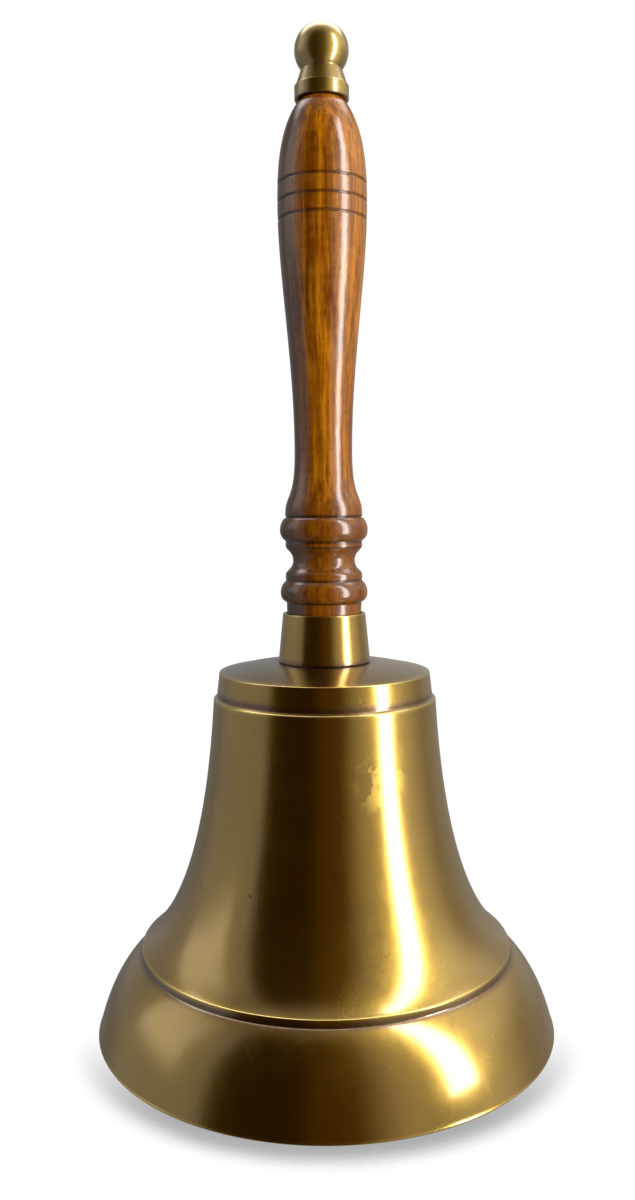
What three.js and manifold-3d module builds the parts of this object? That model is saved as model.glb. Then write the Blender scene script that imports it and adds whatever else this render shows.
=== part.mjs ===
// A brass hand bell with a turned wooden handle, standing mouth down.
// Millimetres, +Z up. The origin is the centre of the mouth, in the plane of the lip.
// One long rod holds it together: the finial screws on at its top, a nut inside the crown
// draws it tight, and the clapper hangs in the eye at its foot.
import * as THREE from 'three';
import { mergeVertices } from 'three/addons/utils/BufferGeometryUtils.js';
import Module from 'manifold-3d';

const wasm = await Module();
wasm.setup();

// ---- driving dimensions ----

const seatGap = 0.1; // between two pieces drawn together by the rod
const slipGap = 0.3; // around a piece that slides into another

// how many flats stand for one turn
const bellFlats = 64;
const handleFlats = 28;
const smallFlats = 18;
const wireFlats = 8;

// bell casting
const rimRadius = 62.8;
const lipInnerRadius = 59.6;
const lipBevel = 0.4;
const skirtArc = { r: 26.3, z: -5.4, radius: 36.5 };
const skirtFoot = 2.0; // height where the skirt's round begins
const skirtTop = 21.3; // height where the skirt meets the step
const stepRadius = 50.6;
const stepTop = 23.4;
const wallThickness = 3.2;
const shoulderRadius = 30.3;
const shoulderTop = 90.8;
const crownFootRadius = 29.3;
const crownRadius = 28.6;
const crownEdgeTop = 97.9;
const crownTop = 100.4; // the crown rises a little towards the handle
const crownFoot = 93.0;

// tie rod
const rodRadius = 2.9;
const rodHoleRadius = rodRadius + 0.5;
const rodTop = 262.0;
const eyeRadius = 4.6;
const eyeWireRadius = 1.7;
const eyeHeight = 75.5;

// ferrule
const ferruleFoot = crownTop + seatGap;
const ferruleTop = 113.8;
const ferruleFootRadius = 12.5;
const ferruleTopRadius = 11.2;
const ferruleBoreRadius = 10.3;

// handle
const tenonRadius = ferruleBoreRadius - slipGap;
const tenonFoot = ferruleFoot + slipGap;
const neckRadius = 10.1;
const handleTop = 248.2;
const beadRadius = 11.8;
const coveRadius = 8.38;
const gripWaistRadius = 7.76;
const gripWaistHeight = 157.2;
const barrelRadius = 11.84;
const barrelHeight = 221.8;

// finial nut
const finialFoot = handleTop + seatGap;
const collarRadius = 7.2;
const collarTop = 251.9;
const finialNeckRadius = 5.35;
const finialBallRadius = 7.13;
const finialBallHeight = 260.9;
const finialBoreTop = rodTop + 0.6;

// fasteners inside the crown
const washerRadius = 9.0;
const washerThickness = 1.4;
const nutAcrossFlats = 10.0;
const nutHeight = 5.0;
const lockNutHeight = 3.0;
const washerFoot = crownFoot - seatGap - washerThickness;
const nutFoot = washerFoot - seatGap - nutHeight;
const lockNutFoot = nutFoot - seatGap - lockNutHeight;

// clapper
const linkRadius = 5.6;
const linkWireRadius = 1.2;
const loopRadius = 4.0;
const loopWireRadius = 1.3;
const hangGap = 0.2; // between a ring and the wire it hangs on
const clapperRodRadius = 1.6;
const clapperRodFoot = 3.8;
const clapperBallRadius = 9.0;
const clapperBallHeight = 16.5;
const clapperBoreRadius = clapperRodRadius + slipGap;
const collarThickness = 1.3;
const ballNutAcrossFlats = 6.0;
const ballNutHeight = 2.6;

// the ring hangs on the eye's lowest wire, and the clapper's loop on the ring's lowest wire
const linkPivot = eyeHeight - eyeRadius;
const linkHeight = linkPivot + eyeWireRadius + linkWireRadius + hangGap - linkRadius;
const clapperPivot = linkHeight - linkRadius;
const loopHeight = clapperPivot + linkWireRadius + loopWireRadius + hangGap - loopRadius;

// ---- materials ----

const brass = new THREE.MeshStandardMaterial({ color: 0x9a7b3a, roughness: 0.28, metalness: 1.0 });
const polishedBrass = new THREE.MeshStandardMaterial({ color: 0xb08c45, roughness: 0.2, metalness: 1.0 });
const wood = new THREE.MeshStandardMaterial({ color: 0x8a4a1e, roughness: 0.3, metalness: 0.0 });
const steel = new THREE.MeshStandardMaterial({ color: 0x8d8d8a, roughness: 0.4, metalness: 1.0 });

// ---- outlines and solids ----

// A point of an outline: its radius and its height.
function at(radius, height) {
  return new THREE.Vector2(radius, height);
}

function arc(centre, radius, from, to, steps) {
  return new THREE.EllipseCurve(centre.x, centre.y, radius, radius, from, to).getPoints(steps);
}

function sweep(start, startPull, endPull, end, steps) {
  return new THREE.CubicBezierCurve(start, startPull, endPull, end).getPoints(steps);
}

// Joins points and curves into one outline, with no point twice in a row.
function outline(...pieces) {
  const points = [];
  for (const point of pieces.flat()) {
    const last = points.at(-1);
    if (!last || last.distanceTo(point) > 0.001) {
      points.push(point);
    }
  }
  return points;
}

// Turns an outline about +Z. The outline runs with the material on its left.
function turned(points, flats) {
  return new THREE.LatheGeometry(points, flats).rotateX(Math.PI / 2);
}

// Turns an outline that closes on itself, so that the piece has a bore.
function turnedRing(points, flats) {
  return turned([...points, points[0]], flats);
}

// A round ring of wire that stands upright, facing along X or along Y.
function wireRing(radius, wireRadius, facing, height) {
  const ring = new THREE.TorusGeometry(radius, wireRadius, wireFlats, handleFlats);
  if (facing === 'x') {
    ring.rotateY(Math.PI / 2);
  } else {
    ring.rotateX(Math.PI / 2);
  }
  return ring.translate(0, 0, height);
}

function solidOf(geometry) {
  const bare = geometry.clone();
  bare.deleteAttribute('normal');
  bare.deleteAttribute('uv');
  const welded = mergeVertices(bare, 0.0001);
  return new wasm.Manifold(new wasm.Mesh({
    numProp: 3,
    vertProperties: new Float32Array(welded.attributes.position.array),
    triVerts: new Uint32Array(welded.index.array),
  }));
}

function geometryOf(solid) {
  const mesh = solid.getMesh();
  const geometry = new THREE.BufferGeometry();
  geometry.setAttribute('position', new THREE.BufferAttribute(mesh.vertProperties, 3));
  geometry.setIndex(new THREE.BufferAttribute(mesh.triVerts, 1));
  return geometry;
}

function piece(name, geometry, material) {
  const mesh = new THREE.Mesh(geometry, material);
  mesh.name = name;
  return mesh;
}

// ---- bell ----

// Angle about the centre of the skirt's round at which the round reaches a given height.
function skirtAngle(height) {
  return Math.asin((height - skirtArc.z) / skirtArc.radius);
}

// One casting: lip, flared skirt, step, hollow waist, shoulder and gently domed crown with a rod hole.
function bellShell() {
  const outside = [
    at(lipInnerRadius, 0),
    at(rimRadius - lipBevel, 0),
    at(rimRadius, lipBevel),
    ...arc(at(skirtArc.r, skirtArc.z), skirtArc.radius, skirtAngle(skirtFoot), skirtAngle(skirtTop), 6),
    at(stepRadius, skirtTop + 0.3),
    at(stepRadius, stepTop - 0.3),
    ...sweep(at(stepRadius - 0.3, stepTop), at(42, 30), at(33, 47.4), at(shoulderRadius, shoulderTop), 10),
    at(crownFootRadius, shoulderTop + 0.8),
    at(crownRadius, crownEdgeTop - 0.4),
    at(crownRadius - 0.4, crownEdgeTop),
    ...sweep(at(crownRadius - 0.9, crownEdgeTop + 0.1), at(24, 99.0), at(18, 100.1), at(ferruleFootRadius + 1.0, crownTop), 4),
    at(rodHoleRadius, crownTop),
  ];
  const waistFoot = at(stepRadius - 5.0, stepTop + 0.8);
  const waistTop = at(shoulderRadius - wallThickness, shoulderTop - 5.0);
  const crownCorner = at(waistTop.x - 6.0, crownFoot);
  const inside = [
    at(rodHoleRadius, crownFoot),
    ...sweep(crownCorner, at(waistTop.x - 2.0, crownFoot), at(waistTop.x, crownFoot - 3.0), waistTop, 3),
    ...sweep(waistTop, at(30.0, 49.0), at(38.4, 31.2), waistFoot, 8),
    ...sweep(waistFoot, at(50.4, 17.5), at(56.6, 8.5), at(lipInnerRadius, 0), 5),
  ];
  return turned(outline(outside, inside), bellFlats);
}

// ---- handle ----

// A tube with a tapered outside and a straight bore, which the handle's foot slides into.
function ferrule() {
  const points = [
    at(ferruleBoreRadius, ferruleFoot),
    at(ferruleFootRadius - 0.2, ferruleFoot),
    at(ferruleFootRadius, ferruleFoot + 0.5),
    at(ferruleFootRadius - 0.15, ferruleFoot + 1.2),
    at(ferruleTopRadius, ferruleTop - 0.4),
    at(ferruleTopRadius - 0.3, ferruleTop),
    at(ferruleBoreRadius, ferruleTop),
  ];
  return turnedRing(points, handleFlats);
}

// Turned in one length: tenon, bead, cove between two fillets, bead, flare, slim grip and barrel.
function handle() {
  const bead = (foot, height) => sweep(
    at(10.3, foot), at(beadRadius + 0.55, foot + height * 0.25),
    at(beadRadius + 0.55, foot + height * 0.65), at(10.4, foot + height), 5,
  );
  const cove = [
    ...sweep(at(10.3, 124.7), at(9.65, 125.7), at(coveRadius, 126.0), at(coveRadius, 128.2), 3),
    ...sweep(at(coveRadius, 128.2), at(coveRadius, 130.1), at(10.15, 131.0), at(10.3, 131.7), 3),
  ];
  const gripWaist = at(gripWaistRadius, gripWaistHeight);
  const barrel = at(barrelRadius, barrelHeight);
  const grip = [
    ...sweep(at(10.4, 141.4), at(10.1, 145.8), at(gripWaistRadius, 145.1), gripWaist, 6),
    ...sweep(gripWaist, at(gripWaistRadius, 181.7), at(barrelRadius, 203.3), barrel, 8),
    ...sweep(barrel, at(barrelRadius, 228.6), at(barrelRadius, 240.8), at(6.0, handleTop), 7),
  ];
  const points = outline(
    at(rodHoleRadius, tenonFoot),
    at(tenonRadius - 0.5, tenonFoot),
    at(tenonRadius, tenonFoot + 0.5),
    at(tenonRadius, ferruleTop),
    at(neckRadius, ferruleTop + 0.5),
    bead(116.8, 5.8),
    cove,
    bead(133.2, 6.4),
    grip,
    at(rodHoleRadius, handleTop),
  );
  return turnedRing(points, handleFlats);
}

// Collar, coned neck and ball in one piece, with a blind bore for the rod's thread.
function finial() {
  const ballStart = -Math.acos(finialNeckRadius / finialBallRadius);
  const boreRadius = rodRadius + slipGap;
  const points = outline(
    at(0, finialBoreTop),
    at(boreRadius, finialBoreTop),
    at(boreRadius, finialFoot),
    at(collarRadius - 0.4, finialFoot),
    at(collarRadius, finialFoot + 0.4),
    at(collarRadius, collarTop - 0.3),
    at(collarRadius - 0.2, collarTop),
    arc(at(0, finialBallHeight), finialBallRadius, ballStart, Math.PI / 2, 10),
  );
  points[points.length - 1].x = 0;
  return turned(points, handleFlats);
}

// ---- rod and its fasteners ----

function tieRod() {
  const shank = turned([
    at(0, eyeHeight + eyeRadius - 0.8),
    at(1.9, eyeHeight + eyeRadius - 0.8),
    at(rodRadius, eyeHeight + eyeRadius + 1.8),
    at(rodRadius, rodTop - 0.8),
    at(rodRadius - 0.8, rodTop),
    at(0, rodTop),
  ], smallFlats);
  const eye = wireRing(eyeRadius, eyeWireRadius, 'x', eyeHeight);
  return geometryOf(solidOf(shank).add(solidOf(eye)));
}

function crownWasher() {
  return turnedRing([
    at(rodHoleRadius, washerFoot),
    at(washerRadius - 0.2, washerFoot),
    at(washerRadius, washerFoot + 0.2),
    at(washerRadius, washerFoot + washerThickness),
    at(rodHoleRadius, washerFoot + washerThickness),
  ], handleFlats);
}

// A hexagon bar cut to length, bored through, its corners turned off at both ends.
function hexNut(acrossFlats, boreRadius, height, foot) {
  const cornerRadius = acrossFlats / Math.sqrt(3);
  const corners = [];
  for (let side = 0; side < 6; side += 1) {
    const angle = side * Math.PI / 3;
    corners.push(at(cornerRadius * Math.cos(angle), cornerRadius * Math.sin(angle)));
  }
  const section = new THREE.Shape(corners);
  section.holes.push(new THREE.Path().absarc(0, 0, boreRadius, 0, 2 * Math.PI, true));
  const bar = new THREE.ExtrudeGeometry(section, { depth: height, bevelEnabled: false, curveSegments: 12 });
  bar.translate(0, 0, foot);
  const cut = cornerRadius - acrossFlats / 2;
  const blank = turned([
    at(0, foot - 0.1),
    at(acrossFlats / 2, foot - 0.1),
    at(cornerRadius + 0.1, foot + cut),
    at(cornerRadius + 0.1, foot + height - cut),
    at(acrossFlats / 2, foot + height + 0.1),
    at(0, foot + height + 0.1),
  ], smallFlats);
  return geometryOf(solidOf(bar).intersect(solidOf(blank)));
}

// ---- clapper ----

function clapperRod() {
  const ballTop = clapperBallHeight + clapperBallRadius + slipGap;
  const rod = turned([
    at(0, clapperRodFoot),
    at(clapperRodRadius - 0.4, clapperRodFoot),
    at(clapperRodRadius, clapperRodFoot + 0.4),
    at(clapperRodRadius, ballTop),
    at(clapperRodRadius + 1.2, ballTop),
    at(clapperRodRadius + 1.2, ballTop + collarThickness),
    at(clapperRodRadius, ballTop + collarThickness + 0.4),
    at(clapperRodRadius, loopHeight - loopRadius + 0.6),
    at(0, loopHeight - loopRadius + 0.6),
  ], smallFlats);
  const loop = wireRing(loopRadius, loopWireRadius, 'x', loopHeight);
  return geometryOf(solidOf(rod).add(solidOf(loop)));
}

function clapperBall() {
  const boreAngle = Math.acos(clapperBoreRadius / clapperBallRadius);
  return turnedRing(arc(at(0, clapperBallHeight), clapperBallRadius, -boreAngle, boreAngle, 10), handleFlats);
}

// ---- assembly ----

const bell = new THREE.Group();
bell.add(
  piece('bell_shell', bellShell(), brass),
  piece('ferrule', ferrule(), polishedBrass),
  piece('handle', handle(), wood),
  piece('finial', finial(), polishedBrass),
  piece('tie_rod', tieRod(), steel),
  piece('crown_washer', crownWasher(), steel),
  piece('crown_nut', hexNut(nutAcrossFlats, rodRadius + slipGap, nutHeight, nutFoot), steel),
  piece('lock_nut', hexNut(nutAcrossFlats, rodRadius + slipGap, lockNutHeight, lockNutFoot), steel),
  piece('link', wireRing(linkRadius, linkWireRadius, 'y', linkHeight), steel),
);

const ballFoot = clapperBallHeight - clapperBallRadius;
const clapper = new THREE.Group();
clapper.add(
  piece('clapper_rod', clapperRod(), steel),
  piece('clapper_ball', clapperBall(), brass),
  piece('ball_nut', hexNut(ballNutAcrossFlats, clapperBoreRadius, ballNutHeight, ballFoot - ballNutHeight), steel),
);

const sanctusBell = new THREE.Group();
sanctusBell.add(bell, clapper);

export default sanctusBell;
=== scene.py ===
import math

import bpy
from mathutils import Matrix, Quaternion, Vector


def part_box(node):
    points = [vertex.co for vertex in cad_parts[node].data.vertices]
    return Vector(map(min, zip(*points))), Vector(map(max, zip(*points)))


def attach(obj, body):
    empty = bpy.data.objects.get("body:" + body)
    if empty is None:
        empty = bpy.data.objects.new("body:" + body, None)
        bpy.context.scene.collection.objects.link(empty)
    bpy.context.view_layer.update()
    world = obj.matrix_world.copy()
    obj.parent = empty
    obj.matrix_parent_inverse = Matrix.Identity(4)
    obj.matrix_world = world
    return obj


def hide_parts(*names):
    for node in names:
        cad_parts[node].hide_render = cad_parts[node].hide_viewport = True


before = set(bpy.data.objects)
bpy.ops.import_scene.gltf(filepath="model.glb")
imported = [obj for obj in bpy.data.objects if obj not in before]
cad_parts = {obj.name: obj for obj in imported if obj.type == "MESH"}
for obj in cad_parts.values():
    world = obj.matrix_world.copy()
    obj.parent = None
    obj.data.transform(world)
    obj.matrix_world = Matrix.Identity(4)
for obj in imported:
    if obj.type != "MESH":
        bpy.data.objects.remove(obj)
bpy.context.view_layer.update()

# A brass sanctus bell: a cast and turned bell, a brass ferrule, a varnished wooden handle and a
# brass finial, drawn together by one rod, with a clapper hanging from the rod's eye inside.
# Outlines are in millimetres, as (distance from the axis, height above the lip).

MM = 0.001  # metres in a millimetre


def low(node):
    """A node's lowest height, in millimetres."""
    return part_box(node)[0].z / MM


def high(node):
    """A node's highest height, in millimetres."""
    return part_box(node)[1].z / MM


def reach(node):
    """How far a node reaches from the axis along X, in millimetres."""
    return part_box(node)[1].x / MM


# ---------------------------------------------------------------- sizes

RIM_RADIUS = 62.8
CROWN_TOP = 100.4
CROWN_EDGE_TOP = 97.95
LIP_INNER_RADIUS = 59.6
STEP_RADIUS = 50.7
STEP_TOP = 23.35
STEP_FOOT = 21.3
SHOULDER_RADIUS = 30.3
SHOULDER_TOP = 90.8
CROWN_FOOT_RADIUS = 29.3
CROWN_RADIUS = 28.6
CROWN_UNDERSIDE = 93.0
ROD_RADIUS = 2.9
ROD_HOLE_RADIUS = 3.4

FERRULE_FOOT = 100.5
FERRULE_TOP = 113.8
FERRULE_RADIUS = reach("ferrule")
FERRULE_TOP_RADIUS = 11.2
FERRULE_BORE_RADIUS = 10.3

HANDLE_FOOT = low("handle")
HANDLE_TOP = high("handle")
BARREL_RADIUS = 11.84
BARREL_HEIGHT = 221.8
GRIP_RADIUS = 7.76
GRIP_HEIGHT = 157.2
GROOVE_HEIGHTS = (217.6, 222.2, 226.9)

FINIAL_FOOT = low("finial")
FINIAL_TOP = high("finial")
COLLAR_RADIUS = 7.2
COLLAR_TOP = 251.9
BALL_RADIUS = 7.13
BALL_HEIGHT = FINIAL_TOP - BALL_RADIUS

EYE_RADIUS = 4.6
EYE_WIRE = 1.7
EYE_HEIGHT = low("tie_rod") + EYE_RADIUS + EYE_WIRE
LINK_RADIUS = 5.6
LINK_WIRE = 1.2
LINK_HEIGHT = (low("link") + high("link")) / 2
LOOP_RADIUS = 4.0
LOOP_WIRE = 1.3
LOOP_HEIGHT = high("clapper_rod") - LOOP_RADIUS - LOOP_WIRE
CLAPPER_FOOT = low("clapper_rod")
CLAPPER_ROD_RADIUS = 1.6
CLAPPER_BALL_RADIUS = reach("clapper_ball")
CLAPPER_BALL_HEIGHT = (low("clapper_ball") + high("clapper_ball")) / 2

BELL_FLATS = 240
HANDLE_FLATS = 144
SMALL_FLATS = 72


# ---------------------------------------------------------------- outlines

def sweep(start, start_pull, end_pull, end, steps):
    """Points along a cubic curve."""
    points = []
    for step in range(steps + 1):
        t = step / steps
        weights = ((1 - t) ** 3, 3 * (1 - t) ** 2 * t, 3 * (1 - t) * t ** 2, t ** 3)
        corners = (start, start_pull, end_pull, end)
        points.append(tuple(sum(w * c[axis] for w, c in zip(weights, corners)) for axis in (0, 1)))
    return points


def arc(centre, radius, start, end, steps):
    """Points along a round stretch, from one angle to another in degrees."""
    points = []
    for step in range(steps + 1):
        angle = math.radians(start + (end - start) * step / steps)
        points.append((centre[0] + radius * math.cos(angle), centre[1] + radius * math.sin(angle)))
    return points


def eased(corner, before, after, setback, steps=5):
    """Rounds a corner between its two neighbours, starting and ending a setback away from it."""
    corner, before, after = Vector(corner), Vector(before), Vector(after)
    start = corner + (before - corner).normalized() * setback
    end = corner + (after - corner).normalized() * setback
    points = []
    for step in range(steps + 1):
        t = step / steps
        points.append(tuple(start * (1 - t) ** 2 + corner * 2 * t * (1 - t) + end * t ** 2))
    return points


def outline(*items, ring=False):
    """Joins corners (radius, height), corners to ease (radius, height, setback) and lists of points."""
    flat = []
    for item in items:
        flat.extend(item if isinstance(item, list) else [item])
    points = []
    for index, item in enumerate(flat):
        before = flat[index - 1][:2] if index or ring else None
        after = flat[(index + 1) % len(flat)][:2] if index + 1 < len(flat) or ring else None
        fresh = eased(item[:2], before, after, item[2]) if len(item) == 3 else [item]
        for point in fresh:
            if not points or math.dist(points[-1], point) > 0.002:
                points.append(point)
    return points


# ---------------------------------------------------------------- meshes

def new_piece(name, vertices, faces, node, body, slot_name, material):
    """Makes a smooth-shaded piece from vertices in millimetres, riding on a body in a node's place."""
    mesh = bpy.data.meshes.new(name)
    mesh.from_pydata([Vector(vertex) * MM for vertex in vertices], [], faces)
    mesh.validate()
    mesh.update()
    mesh.shade_smooth()
    mesh.materials.append(material)
    piece = bpy.data.objects.new(name, mesh)
    bpy.context.scene.collection.objects.link(piece)
    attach(piece, body)
    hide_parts(node)
    return piece


def turned(points, flats, ring=False):
    """Vertices and faces of an outline turned about the axis, with the material on its left."""
    vertices = []
    rows = []
    for radius, height in points:
        if radius < 1e-6:
            rows.append([len(vertices)] * flats)
            vertices.append((0, 0, height))
            continue
        rows.append(list(range(len(vertices), len(vertices) + flats)))
        for flat in range(flats):
            angle = math.tau * flat / flats
            vertices.append((radius * math.cos(angle), radius * math.sin(angle), height))
    faces = []
    pairs = list(zip(rows, rows[1:])) + ([(rows[-1], rows[0])] if ring else [])
    for below, above in pairs:
        for flat in range(flats):
            nearby = (flat + 1) % flats
            corners = (below[flat], below[nearby], above[nearby], above[flat])
            faces.append(tuple(dict.fromkeys(corners)))
    return vertices, [face for face in faces if len(face) > 2]


def keep_flats_flat(piece):
    """Lets the large faces set the shading at the small ones that ease its edges."""
    modifier = piece.modifiers.new("flat faces", "WEIGHTED_NORMAL")
    modifier.weight = 90
    modifier.keep_sharp = True


def wire_ring(radius, wire, facing, height, around=96, section=32):
    """Vertices and faces of a round wire ring that stands upright, facing along X or along Y."""
    vertices = []
    for turn in range(around):
        angle = math.tau * turn / around
        for flat in range(section):
            tilt = math.tau * flat / section
            spread = radius + wire * math.cos(tilt)
            across, up, out = spread * math.cos(angle), spread * math.sin(angle), wire * math.sin(tilt)
            vertices.append((out, across, up + height) if facing == "x" else (across, -out, up + height))
    faces = []
    for turn in range(around):
        for flat in range(section):
            here, there = turn * section, (turn + 1) % around * section
            side = (flat + 1) % section
            faces.append((here + flat, there + flat, there + side, here + side))
    return vertices, faces


def hex_nut(across, bore, foot, top, flats=144):
    """Vertices and faces of a bored hexagon nut with its corners turned off at both ends."""
    apothem = across / 2
    chamfer_radius = apothem * 0.95
    slope = math.tan(math.radians(30))
    vertices = []
    for flat in range(flats):
        angle = math.tau * flat / flats
        side = (angle % (math.tau / 6)) - math.tau / 12
        edge = apothem / math.cos(side)
        drop = (edge - chamfer_radius) * slope
        bore_edge = bore + 0.35
        stack = (
            (bore, foot + 0.35), (bore_edge, foot), (chamfer_radius, foot), (edge, foot + drop),
            (edge, top - drop), (chamfer_radius, top), (bore_edge, top), (bore, top - 0.35),
        )
        for radius, height in stack:
            vertices.append((radius * math.cos(angle), radius * math.sin(angle), height))
    rows = len(stack)
    faces = []
    for flat in range(flats):
        here, there = flat * rows, (flat + 1) % flats * rows
        for row in range(rows):
            above = (row + 1) % rows
            faces.append((here + row, there + row, there + above, here + above))
    return vertices, faces


def threaded(radius, depth, pitch, foot, top, flats=48, rings_a_turn=12):
    """Vertices and faces of a rod cut with a screw thread, closed at both ends."""
    rings = max(2, round((top - foot) / pitch * rings_a_turn))
    vertices = [(0, 0, foot)]
    for ring in range(rings + 1):
        height = foot + (top - foot) * ring / rings
        fade = min(1, (top - height) / pitch, (height - foot) / pitch)
        for flat in range(flats):
            angle = math.tau * flat / flats
            phase = ((height - foot) / pitch - flat / flats) % 1
            cut = depth * max(0, min(1, 2.4 * abs(phase - 0.5) - 0.1))
            deep = radius - (cut if fade > 0 else depth * 0.6)
            vertices.append((deep * math.cos(angle), deep * math.sin(angle), height))
    vertices.append((0, 0, top))
    faces = []
    for ring in range(rings):
        here, above = 1 + ring * flats, 1 + (ring + 1) * flats
        for flat in range(flats):
            side = (flat + 1) % flats
            faces.append((here + flat, here + side, above + side, above + flat))
    last = 1 + rings * flats
    for flat in range(flats):
        side = (flat + 1) % flats
        faces.append((0, 1 + side, 1 + flat))
        faces.append((len(vertices) - 1, last + flat, last + side))
    return vertices, faces


# ---------------------------------------------------------------- material helpers

def new_group(name, inputs, outputs):
    """An empty shader node group with named inputs, given as name: (kind, default), and outputs."""
    group = bpy.data.node_groups.new(name, "ShaderNodeTree")
    for label, (kind, default) in inputs.items():
        socket = group.interface.new_socket(label, in_out="INPUT", socket_type="NodeSocket" + kind)
        if default is not None:
            socket.default_value = default
    for label, kind in outputs.items():
        group.interface.new_socket(label, in_out="OUTPUT", socket_type="NodeSocket" + kind)
    return group, Wiring(group)


class Wiring:
    """Short ways to add nodes to one node tree and wire them up."""

    def __init__(self, tree):
        self.tree = tree
        self.nodes = tree.nodes

    def node(self, kind, **values):
        """Adds a node and sets its properties."""
        made = self.nodes.new("ShaderNode" + kind if not kind.startswith("Node") else kind)
        for key, value in values.items():
            setattr(made, key, value)
        return made

    def feed(self, socket, source):
        """Wires a source into a socket, or sets the socket to a plain value."""
        if isinstance(source, bpy.types.NodeSocket):
            self.tree.links.new(source, socket)
        else:
            socket.default_value = source

    def math(self, operation, *sources, clamp=False):
        made = self.node("Math", operation=operation, use_clamp=clamp)
        for socket, source in zip(made.inputs, sources):
            self.feed(socket, source)
        return made.outputs[0]

    def vector(self, operation, *sources):
        made = self.node("VectorMath", operation=operation)
        for socket, source in zip(made.inputs, sources):
            self.feed(socket, source)
        return made.outputs["Value" if operation in ("LENGTH", "DOT_PRODUCT", "DISTANCE") else "Vector"]

    def combine(self, x, y, z):
        made = self.node("CombineXYZ")
        for socket, source in zip(made.inputs, (x, y, z)):
            self.feed(socket, source)
        return made.outputs[0]

    def separate(self, source):
        made = self.node("SeparateXYZ")
        self.feed(made.inputs[0], source)
        return made.outputs

    def noise(self, vector, scale, detail=3.0, rough=0.5, distortion=0.0):
        made = self.node("TexNoise")
        self.feed(made.inputs["Vector"], vector)
        self.feed(made.inputs["Scale"], scale)
        self.feed(made.inputs["Detail"], detail)
        self.feed(made.inputs["Roughness"], rough)
        self.feed(made.inputs["Distortion"], distortion)
        return made.outputs["Fac"]

    def ramp(self, value, low_in, high_in, low_out=0.0, high_out=1.0, smooth=True):
        """Maps a value from one span to another, held at both ends."""
        made = self.node("MapRange", interpolation_type="SMOOTHSTEP" if smooth else "LINEAR", clamp=True)
        for socket, source in zip(made.inputs[:5], (value, low_in, high_in, low_out, high_out)):
            self.feed(socket, source)
        return made.outputs[0]

    def mix(self, factor, first, second, blend="MIX"):
        made = self.node("Mix", data_type="RGBA", blend_type=blend, clamp_factor=True)
        self.feed(made.inputs[0], factor)
        self.feed(made.inputs[6], first)
        self.feed(made.inputs[7], second)
        return made.outputs[2]

    def group(self, group, **sources):
        made = self.node("Group", node_tree=group)
        for label, source in sources.items():
            self.feed(made.inputs[label.replace("_", " ")], source)
        return made.outputs

    def inside(self):
        return self.node("NodeGroupInput").outputs

    def outside(self, **sources):
        made = self.node("NodeGroupOutput")
        for label, source in sources.items():
            self.feed(made.inputs[label.replace("_", " ")], source)


def millimetres(wiring):
    """The place on the piece, in millimetres, with its distance from the axis and its height."""
    place = wiring.node("TexCoord").outputs["Object"]
    point = wiring.vector("SCALE", place)
    point.node.inputs["Scale"].default_value = 1 / MM
    x, y, z = wiring.separate(point)
    radius = wiring.vector("LENGTH", wiring.combine(x, y, 0.0))
    return point, radius, z


# ---------------------------------------------------------------- shared effects

def make_ring_mask():
    """A soft line round the piece, at one distance from the axis and one height."""
    group, w = new_group(
        "line round the piece",
        {"Radius": ("Float", 0.0), "Height": ("Float", 0.0), "Line Radius": ("Float", 10.0),
         "Line Height": ("Float", 0.0), "Width": ("Float", 0.5)},
        {"Mask": "Float"},
    )
    given = w.inside()
    across = w.math("SUBTRACT", given["Radius"], given["Line Radius"])
    up = w.math("SUBTRACT", given["Height"], given["Line Height"])
    away = w.vector("LENGTH", w.combine(across, up, 0.0))
    w.outside(Mask=w.ramp(away, 0.0, given["Width"], 1.0, 0.0))
    return group


def make_turning_lines():
    """Fine lines that run round the piece, left by the lathe tool and the polishing cloth."""
    group, w = new_group(
        "turning lines",
        {"Point": ("Vector", None), "Lines": ("Float", 3.0), "Drift": ("Float", 0.6)},
        {"Lines": "Float", "Bands": "Float"},
    )
    given = w.inside()
    x, y, z = w.separate(given["Point"])
    flat = w.combine(x, y, 0.0)
    radius = w.vector("LENGTH", flat)
    around = w.vector("NORMALIZE", flat)
    around_x, around_y, _ = w.separate(around)
    along = w.math("ADD", z, w.math("MULTIPLY", radius, 1.37))
    place = w.combine(
        w.math("MULTIPLY", along, given["Lines"]),
        w.math("MULTIPLY", around_x, given["Drift"]),
        w.math("MULTIPLY", around_y, given["Drift"]),
    )
    fine = w.noise(place, 1.0, 4.0, 0.65)
    broad = w.noise(place, 0.12, 2.0, 0.5)
    w.outside(Lines=fine, Bands=broad)
    return group


def make_patina():
    """Cloudy darkening and browning of old brass, with small spots."""
    group, w = new_group(
        "patina",
        {"Point": ("Vector", None), "Size": ("Float", 20.0)},
        {"Cloud": "Float", "Brown": "Float", "Spots": "Float"},
    )
    given = w.inside()
    scaled = w.vector("SCALE", given["Point"])
    w.feed(scaled.node.inputs["Scale"], w.math("DIVIDE", 1.0, given["Size"]))
    cloud = w.noise(scaled, 1.0, 4.0, 0.55, 0.4)
    brown = w.noise(w.vector("ADD", scaled, (7.3, 2.1, 5.9)), 0.7, 3.0, 0.5, 0.6)
    cells = w.node("TexVoronoi", feature="F1")
    w.feed(cells.inputs["Vector"], given["Point"])
    w.feed(cells.inputs["Scale"], 0.22)
    red, green, _ = w.separate(cells.outputs["Color"])
    picked = w.math("GREATER_THAN", red, 0.72)
    size = w.math("MULTIPLY", green, 0.11)
    near = w.math("LESS_THAN", cells.outputs["Distance"], size)
    w.outside(
        Cloud=w.ramp(cloud, 0.3, 0.72),
        Brown=w.ramp(brown, 0.36, 0.7),
        Spots=w.math("MULTIPLY", picked, near),
    )
    return group


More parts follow.
